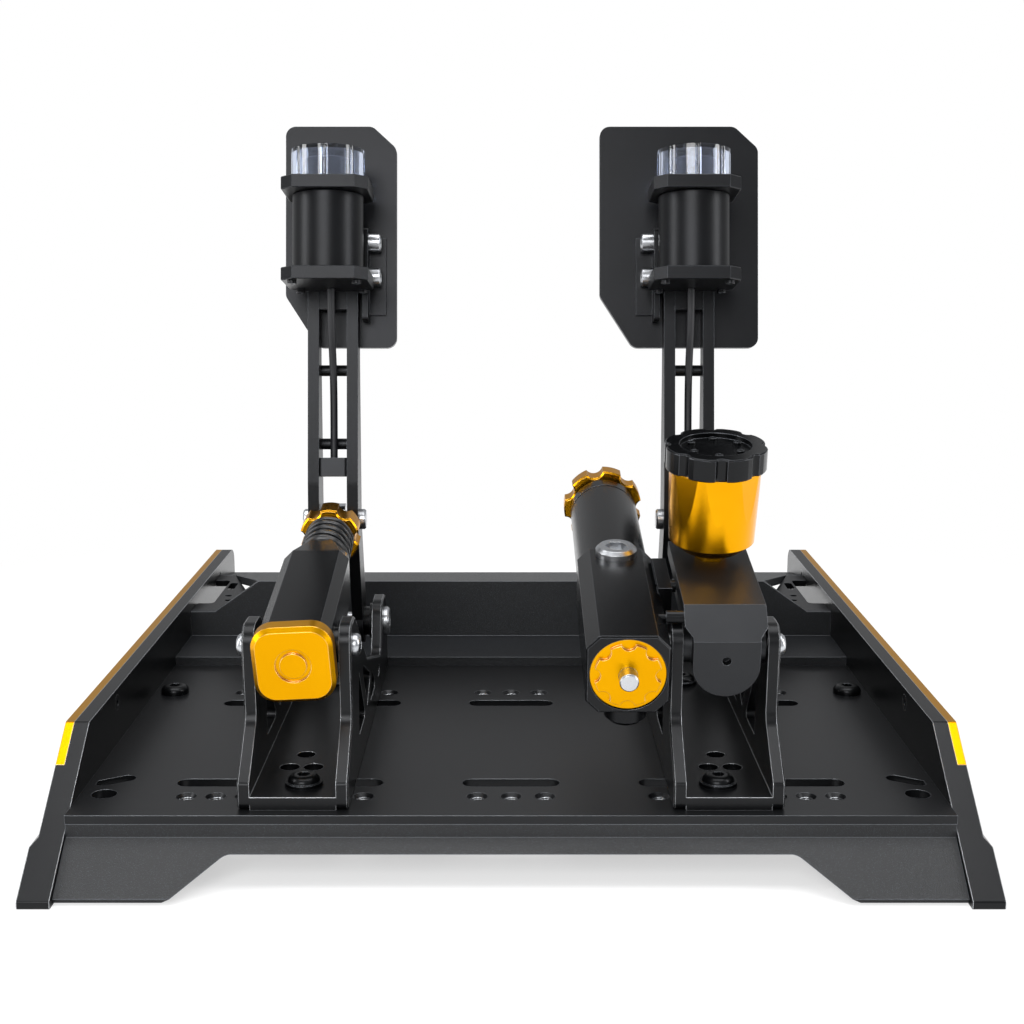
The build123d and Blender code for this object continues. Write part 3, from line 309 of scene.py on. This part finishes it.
# Places on the two linkages, in millimetres, from the same values as the solids
linkage = {
    "unitOffset": 96.0,
    "trunnion": (-163.0, 97.0),
    "bend": (-17.0, 146.0),
    "run": 154.0,
    "rise": 28.0,
    "leanDegrees": 11.0,
}
unitCentre = {"throttle": -linkage["unitOffset"] * mm, "brake": linkage["unitOffset"] * mm}
trunnion = Vector((0, *linkage["trunnion"])) * mm
armBend = Vector((0, *linkage["bend"])) * mm
linkAngle = math.atan2(linkage["rise"], linkage["run"])
armLean = math.radians(linkage["leanDegrees"])


def axisFrame(centre):
    # X across, Y along the damper's axis from its trunnion, Z square to it
    return Matrix.Translation(trunnion + Vector((centre, 0, 0))) @ Matrix.Rotation(linkAngle, 4, "X")


def leanFrame(centre):
    # Z up the leaning part of the arm, Y towards the driver
    return Matrix.Translation(armBend + Vector((centre, 0, 0))) @ Matrix.Rotation(-armLean, 4, "X")


def addPiece(name, mesh, material, body, place=Matrix.Identity(4)):
    mesh.transform(place)
    mesh.materials.clear()
    mesh.materials.append(material)
    piece = bpy.data.objects.new(name, mesh)
    bpy.context.scene.collection.objects.link(piece)
    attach(piece, body)
    return piece


def runTree(name, tree, values, points):
    # Runs a node tree on loose points and returns the result as a plain mesh
    seed = bpy.data.meshes.new(name + "Seed")
    seed.from_pydata([tuple(point) for point in points], [], [])
    holder = bpy.data.objects.new(name + "Seed", seed)
    bpy.context.scene.collection.objects.link(holder)
    modifier = holder.modifiers.new("build", "NODES")
    modifier.node_group = tree
    identifiers = {item.name: item.identifier for item in tree.interface.items_tree if item.in_out == "INPUT"}
    for key, value in values.items():
        modifier[identifiers[key]] = value
    bpy.context.view_layer.update()
    evaluated = holder.evaluated_get(bpy.context.evaluated_depsgraph_get())
    mesh = bpy.data.meshes.new_from_object(evaluated)
    mesh.name = name
    holder.modifiers.remove(modifier)
    bpy.data.objects.remove(holder)
    return mesh


def startTree(name, sizes):
    tree = bpy.data.node_groups.new(name, "GeometryNodeTree")
    tree.interface.new_socket("Points", in_out="INPUT", socket_type="NodeSocketGeometry")
    tree.interface.new_socket("Geometry", in_out="OUTPUT", socket_type="NodeSocketGeometry")
    for label, value in sizes.items():
        kind = "NodeSocketMaterial" if value is None else "NodeSocketFloat"
        socket = tree.interface.new_socket(label, in_out="INPUT", socket_type=kind)
        if value is not None:
            socket.default_value = value
    entry = addNode(tree, "NodeGroupInput", place=(-900, 0))
    leave = addNode(tree, "NodeGroupOutput", place=(900, 0))
    return tree, entry.outputs, leave


def endTree(tree, entry, leave, geometry):
    real = addNode(tree, "GeometryNodeRealizeInstances", None, {"Geometry": geometry}, (500, 0))
    painted = addNode(tree, "GeometryNodeSetMaterial", None, {
        "Geometry": real.outputs["Geometry"], "Material": entry["Material"],
    }, (700, 0))
    tree.links.new(painted.outputs["Geometry"], leave.inputs["Geometry"])


def threadTree():
    # A short helix of wire on each point: the thread seen inside a tapped hole
    tree, entry, leave = startTree("tappedThread", {
        "Radius": 3.0 * mm, "Height": 3.4 * mm, "Turns": 4.0, "Wire": 0.3 * mm, "Material": None,
    })
    helix = addNode(tree, "GeometryNodeCurveSpiral", None, {
        "Resolution": 20, "Rotations": entry["Turns"], "Start Radius": entry["Radius"],
        "End Radius": entry["Radius"], "Height": entry["Height"],
    }, (-500, 200))
    profile = addNode(tree, "GeometryNodeCurvePrimitiveCircle", None, {
        "Resolution": 4, "Radius": entry["Wire"],
    }, (-500, -200))
    wire = addNode(tree, "GeometryNodeCurveToMesh", None, {
        "Curve": helix.outputs["Curve"], "Profile Curve": profile.outputs["Curve"], "Fill Caps": True,
    }, (-200, 0))
    copies = addNode(tree, "GeometryNodeInstanceOnPoints", None, {
        "Points": entry["Points"], "Instance": wire.outputs["Mesh"],
    }, (200, 0))
    endTree(tree, entry, leave, copies.outputs["Instances"])
    return tree


def screwTree():
    # A small socket head on each point: a drum with a sunk round socket
    tree, entry, leave = startTree("smallScrewHead", {
        "Radius": 1.5 * mm, "Height": 1.2 * mm, "Socket": 0.5, "Depth": -0.7 * mm, "Material": None,
    })
    drum = addNode(tree, "GeometryNodeMeshCone", None, {
        "Vertices": 24, "Radius Top": entry["Radius"], "Radius Bottom": entry["Radius"],
        "Depth": entry["Height"],
    }, (-700, 200))
    rim = addNode(tree, "GeometryNodeExtrudeMesh", {"mode": "FACES"}, {
        "Mesh": drum.outputs["Mesh"], "Selection": drum.outputs["Top"], "Offset Scale": 0.15 * mm,
    }, (-480, 200))
    shoulder = addNode(tree, "GeometryNodeScaleElements", {"domain": "FACE"}, {
        "Geometry": rim.outputs["Mesh"], "Selection": rim.outputs["Top"], "Scale": 0.9,
    }, (-260, 200))
    mouth = addNode(tree, "GeometryNodeExtrudeMesh", {"mode": "FACES"}, {
        "Mesh": shoulder.outputs["Geometry"], "Selection": rim.outputs["Top"], "Offset Scale": 0.0,
    }, (-40, 200))
    narrow = addNode(tree, "GeometryNodeScaleElements", {"domain": "FACE"}, {
        "Geometry": mouth.outputs["Mesh"], "Selection": mouth.outputs["Top"], "Scale": entry["Socket"],
    }, (180, 200))
    sunk = addNode(tree, "GeometryNodeExtrudeMesh", {"mode": "FACES"}, {
        "Mesh": narrow.outputs["Geometry"], "Selection": mouth.outputs["Top"], "Offset Scale": entry["Depth"],
    }, (400, 200))
    copies = addNode(tree, "GeometryNodeInstanceOnPoints", None, {
        "Points": entry["Points"], "Instance": sunk.outputs["Mesh"],
    }, (600, 0))
    endTree(tree, entry, leave, copies.outputs["Instances"])
    return tree


def coilTree():
    # Compression spring: a helix whose end turns lie flat
    tree, entry, leave = startTree("coilSpring", {
        "Coil Radius": 11.7 * mm, "Wire Radius": 1.3 * mm, "Length": 28 * mm, "Turns": 6.0, "Flat": 0.12,
        "Material": None,
    })
    helix = addNode(tree, "GeometryNodeCurveSpiral", None, {
        "Resolution": 40, "Rotations": entry["Turns"], "Start Radius": entry["Coil Radius"],
        "End Radius": entry["Coil Radius"], "Height": 0.0,
    }, (-700, 200))
    along = addNode(tree, "GeometryNodeSplineParameter", None, None, (-700, -200))
    other = addNode(tree, "ShaderNodeMath", {"operation": "SUBTRACT"}, {0: 1.0, 1: entry["Flat"]}, (-700, -400))
    rise = addNode(tree, "ShaderNodeMapRange", {"interpolation_type": "SMOOTHSTEP"}, {
        "Value": along.outputs["Factor"], "From Min": entry["Flat"], "From Max": other.outputs[0],
        "To Min": 0.0, "To Max": entry["Length"],
    }, (-480, -200))
    straight = addNode(tree, "ShaderNodeMapRange", None, {
        "Value": along.outputs["Factor"], "From Min": entry["Flat"], "From Max": other.outputs[0],
        "To Min": 0.0, "To Max": entry["Length"],
    }, (-480, -450))
    blend = addNode(tree, "ShaderNodeMix", {"data_type": "FLOAT"}, {
        "Factor": 0.35, 2: straight.outputs["Result"], 3: rise.outputs["Result"],
    }, (-260, -300))
    offset = addNode(tree, "ShaderNodeCombineXYZ", None, {"Z": blend.outputs[0]}, (-80, -200))
    raised = addNode(tree, "GeometryNodeSetPosition", None, {
        "Geometry": helix.outputs["Curve"], "Offset": offset.outputs["Vector"],
    }, (-80, 100))
    profile = addNode(tree, "GeometryNodeCurvePrimitiveCircle", None, {
        "Resolution": 14, "Radius": entry["Wire Radius"],
    }, (-80, 350))
    wire = addNode(tree, "GeometryNodeCurveToMesh", None, {
        "Curve": raised.outputs["Geometry"], "Profile Curve": profile.outputs["Curve"], "Fill Caps": True,
    }, (150, 100))
    copies = addNode(tree, "GeometryNodeInstanceOnPoints", None, {
        "Points": entry["Points"], "Instance": wire.outputs["Mesh"],
    }, (320, 0))
    endTree(tree, entry, leave, copies.outputs["Instances"])
    return tree


thread = threadTree()
screw = screwTree()
coil = coilTree()


# Throttle spring, between the damper's tip and the preload knob
springSizes = {
    "start": 97.6, "length": 30.9, "coilRadius": 11.7, "wire": 1.3, "gap": 0.1, "turns": 6.0, "pressed": 0.42,
}
springRise = springSizes["length"] - 2 * (springSizes["wire"] + springSizes["gap"])
springMesh = runTree("throttleSpring", coil, {
    "Coil Radius": springSizes["coilRadius"] * mm, "Wire Radius": springSizes["wire"] * mm,
    "Length": springRise * mm, "Turns": springSizes["turns"], "Material": springLacquer,
}, [(0, 0, 0)])
springMesh.shade_smooth()
springAxis = axisFrame(unitCentre["throttle"])
springFirst = (springSizes["start"] + springSizes["wire"] + springSizes["gap"]) * mm
springPlace = springAxis @ Matrix.Translation((0, springFirst, 0)) @ Matrix.Rotation(math.radians(-90), 4, "X")
spring = addPiece("throttleCoilSpring", springMesh, springLacquer, "throttle_damper", springPlace)
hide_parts("throttle_spring")
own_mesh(spring)
print("spring made")


# Motor cables: from the motor's lower flange down between the arm's plates to
# the grip. The route is the solid's own.
cableSizes = {
    "route": ((-9.0, 103.5), (-9.0, 86.0), (3.0, 62.0), (6.4, 36.0), (6.4, 12.0)),
    "radius": 2.0,
    "length": 0.094,
}
for unit, centre in unitCentre.items():
    curve = bpy.data.curves.new(unit + "MotorCable", "CURVE")
    curve.dimensions = "3D"
    curve.bevel_depth = cableSizes["radius"] * mm
    curve.bevel_resolution = 4
    curve.use_fill_caps = True
    spline = curve.splines.new("NURBS")
    route = cableSizes["route"]
    spline.points.add(len(route) - 1)
    leaning = leanFrame(centre)
    for point, (depth, height) in zip(spline.points, route):
        point.co = (*(leaning @ Vector((0, depth * mm, height * mm))), 1.0)
    spline.order_u = 3
    spline.use_endpoint_u = True
    spline.resolution_u = 24
    curve.materials.append(cableSheath)
    cable = bpy.data.objects.new(unit + "MotorCableSheath", curve)
    bpy.context.scene.collection.objects.link(cable)
    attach(cable, unit + "_arm")
    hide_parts(unit + "_motor_cable")
print("cables made")


# Threads in the deck's tapped holes
deckHoles = {
    "rows": (-179.8, -23.9), "middlePitch": 15.25, "sidePitch": 13.3, "sideOffset": 106.4,
    "foot": 27.1, "radius": 3.05, "height": 2.6, "turns": 3.5, "wire": 0.32,
}
holeSpots = []
for row in deckHoles["rows"]:
    places = [index * deckHoles["middlePitch"] for index in range(-1, 2)]
    for side in (-1, 1):
        for index in range(-3, 4):
            places.append(side * deckHoles["sideOffset"] + index * deckHoles["sidePitch"])
    for x in places:
        holeSpots.append((x * mm, row * mm, deckHoles["foot"] * mm))
threadMesh = runTree("deckThreads", thread, {
    "Radius": deckHoles["radius"] * mm, "Height": deckHoles["height"] * mm, "Turns": deckHoles["turns"],
    "Wire": deckHoles["wire"] * mm, "Material": brightSteel,
}, holeSpots)
threadMesh.shade_smooth()
addPiece("deckHoleThreads", threadMesh, brightSteel, "base")


def screwHeads(name, sizes, spots):
    return runTree(name, screw, {
        "Radius": sizes["radius"] * mm, "Height": sizes["height"] * mm, "Socket": sizes["socket"],
        "Depth": -sizes["socketDepth"] * mm, "Material": blackOxide,
    }, spots)


# Six screws in the recess of the reservoir's lid
lidSizes = {
    "place": 55.0, "floor": 74.8, "count": 6, "circle": 12.5,
    "radius": 1.9, "height": 1.6, "socket": 0.5, "socketDepth": 0.9,
}
lidSpots = []
for index in range(lidSizes["count"]):
    angle = 2 * math.pi * (index + 0.5) / lidSizes["count"]
    lidSpots.append((lidSizes["circle"] * mm * math.cos(angle), lidSizes["circle"] * mm * math.sin(angle), 0))
lidMesh = screwHeads("lidScrews", lidSizes, lidSpots)
lidFloor = Matrix.Translation((0, lidSizes["place"] * mm, lidSizes["floor"] * mm))
lidPlace = axisFrame(unitCentre["brake"]) @ lidFloor
addPiece("reservoirLidScrews", lidMesh, blackOxide, "brake_lid", lidPlace)


# Four screw heads under the lower flange of each motor
motorSizes = {
    "middle": 130.5, "halfCan": 20.0, "flange": 6.8, "width": 45.0, "spot": 16.6,
    "radius": 2.4, "height": 1.8, "socket": 0.5, "socketDepth": 1.0,
}
for unit, centre in unitCentre.items():
    flangeDrop = motorSizes["halfCan"] + motorSizes["flange"]
    flangeMiddle = (0, -motorSizes["width"] / 2 * mm, motorSizes["middle"] * mm)
    motorFrame = leanFrame(centre) @ Matrix.Translation(flangeMiddle)
    spot = motorSizes["spot"] * mm
    spots = [(x * spot, y * spot, 0) for x in (-1, 1) for y in (-1, 1)]
    heads = screwHeads(unit + "LowerScrews", motorSizes, spots)
    heads.transform(Matrix.Rotation(math.pi, 4, "X"))
    place = motorFrame @ Matrix.Translation((0, 0, -flangeDrop * mm))
    addPiece(unit + "MotorScrews", heads, blackOxide, unit + "_arm", place)


# Countersunk screws in the pedal faces, seen from the driver's side
faceSizes = {
    "depth": 12.0, "thickness": 5.0, "spots": (105.0, 137.0), "sunk": 0.2,
    "radius": 4.6, "height": 2.0, "socket": 0.55, "socketDepth": 1.4,
}
for unit, centre in unitCentre.items():
    spots = [(0, height * mm, 0) for height in faceSizes["spots"]]
    heads = screwHeads(unit + "FaceScrews", faceSizes, spots)
    face = (faceSizes["depth"] + faceSizes["thickness"] - faceSizes["height"] - faceSizes["sunk"]) * mm
    turned = Matrix.Rotation(math.radians(-90), 4, "X") @ Matrix.Rotation(math.pi, 4, "Z")
    place = leanFrame(centre) @ Matrix.Translation((0, face, 0)) @ turned
    addPiece(unit + "FaceScrews", heads, blackOxide, unit + "_arm", place)
print("small parts made")


# Studio: pale floor and white surroundings for the camera and for what is seen
# through clear pieces, with soft lamps for the object itself. Lengths in metres.
studio = {
    "cameraPlace": (0.0, -0.8517, 0.2892),
    "cameraTilt": 79.23,
    "lens": 55.26,
    "sideShift": 1 / 1024,
    "worldLevel": 0.45,
    "floorHalf": 6.0,
    # Past the far reach the floor is pure white to the camera; nearer, it shows
    # part of the set's soft shadow
    "shadowReach": (0.25, 0.6),
    "nearWhiteness": 0.55,
    "lamps": {
        # name: (place, aim, width, height, power)
        "overheadSoftbox": ((0.0, -0.10, 1.45), (0.0, 0.0, 0.05), 1.3, 1.0, 16.0),
        "frontSoftbox": ((-0.35, -1.55, 0.85), (0.0, -0.1, 0.12), 0.9, 0.7, 13.0),
        "rightStrip": ((1.25, -0.35, 0.65), (0.05, -0.05, 0.12), 0.35, 1.1, 9.0),
        "leftStrip": ((-1.25, -0.30, 0.65), (-0.05, -0.05, 0.12), 0.35, 1.1, 9.0),
    },
}

world = bpy.data.worlds.new("studioWorld")
bpy.context.scene.world = world
world.use_nodes = True
world.node_tree.nodes.clear()
tree = world.node_tree
ray = addNode(tree, "ShaderNodeLightPath", place=(-700, 200))
seen = addNode(tree, "ShaderNodeMath", {"operation": "MAXIMUM"}, {
    0: ray.outputs["Is Camera Ray"], 1: ray.outputs["Is Transmission Ray"],
}, (-450, 200))
plain = addNode(tree, "ShaderNodeBackground", None, {
    "Color": linearColour("F4F5F7"), "Strength": studio["worldLevel"],
}, (-200, 0))
white = addNode(tree, "ShaderNodeBackground", None, {"Color": (1, 1, 1, 1), "Strength": 1.0}, (-200, 200))
mixed = addNode(tree, "ShaderNodeMixShader", None, {
    0: seen.outputs[0], 1: plain.outputs["Background"], 2: white.outputs["Background"],
}, (100, 100))
worldOut = addNode(tree, "ShaderNodeOutputWorld", None, {"Surface": mixed.outputs["Shader"]}, (350, 100))

floorMaterial, tree, output, place = startMaterial("matteWhiteFloor")
ray = addNode(tree, "ShaderNodeLightPath", place=(-700, 200))
matte = addNode(tree, "ShaderNodeBsdfDiffuse", None, {
    "Color": linearColour("F2F2F2"), "Roughness": 0.5,
}, (-200, 0))
glow = addNode(tree, "ShaderNodeEmission", None, {"Color": (1, 1, 1, 1), "Strength": 1.0}, (-200, 200))
reach = addNode(tree, "ShaderNodeVectorMath", {"operation": "LENGTH"}, {0: place}, (-900, 400))
plainness = addNode(tree, "ShaderNodeMapRange", None, {
    "Value": reach.outputs["Value"], "From Min": studio["shadowReach"][0], "From Max": studio["shadowReach"][1],
    "To Min": studio["nearWhiteness"], "To Max": 1.0,
}, (-700, 400))
share = addNode(tree, "ShaderNodeMath", {"operation": "MULTIPLY"}, {
    0: ray.outputs["Is Camera Ray"], 1: plainness.outputs["Result"],
}, (-450, 200))
mixed = addNode(tree, "ShaderNodeMixShader", None, {
    0: share.outputs[0], 1: matte.outputs["BSDF"], 2: glow.outputs["Emission"],
}, (300, 0))
tree.links.new(mixed.outputs["Shader"], output.inputs["Surface"])

floorMesh = bpy.data.meshes.new("studioFloor")
half = studio["floorHalf"]
corners = [(-half, -half, 0), (half, -half, 0), (half, half, 0), (-half, half, 0)]
floorMesh.from_pydata(corners, [], [(0, 1, 2, 3)])
floorMesh.materials.append(floorMaterial)
floor = bpy.data.objects.new("studioFloor", floorMesh)
bpy.context.scene.collection.objects.link(floor)

for name, (place, aim, width, height, power) in studio["lamps"].items():
    lamp = bpy.data.lights.new(name, "AREA")
    lamp.shape = "RECTANGLE"
    lamp.size = width
    lamp.size_y = height
    lamp.energy = power
    holder = bpy.data.objects.new(name, lamp)
    holder.location = place
    holder.rotation_euler = (Vector(aim) - Vector(place)).to_track_quat("-Z", "Y").to_euler()
    bpy.context.scene.collection.objects.link(holder)

cameraData = bpy.data.cameras.new("photoCamera")
cameraData.sensor_width = 36.0
cameraData.lens = studio["lens"]
cameraData.shift_x = studio["sideShift"]
camera = bpy.data.objects.new("photoCamera", cameraData)
camera.location = studio["cameraPlace"]
camera.rotation_euler = (math.radians(studio["cameraTilt"]), 0, 0)
bpy.context.scene.collection.objects.link(camera)
bpy.context.scene.camera = camera
bpy.context.scene.view_settings.view_transform = "Standard"
print("studio made")
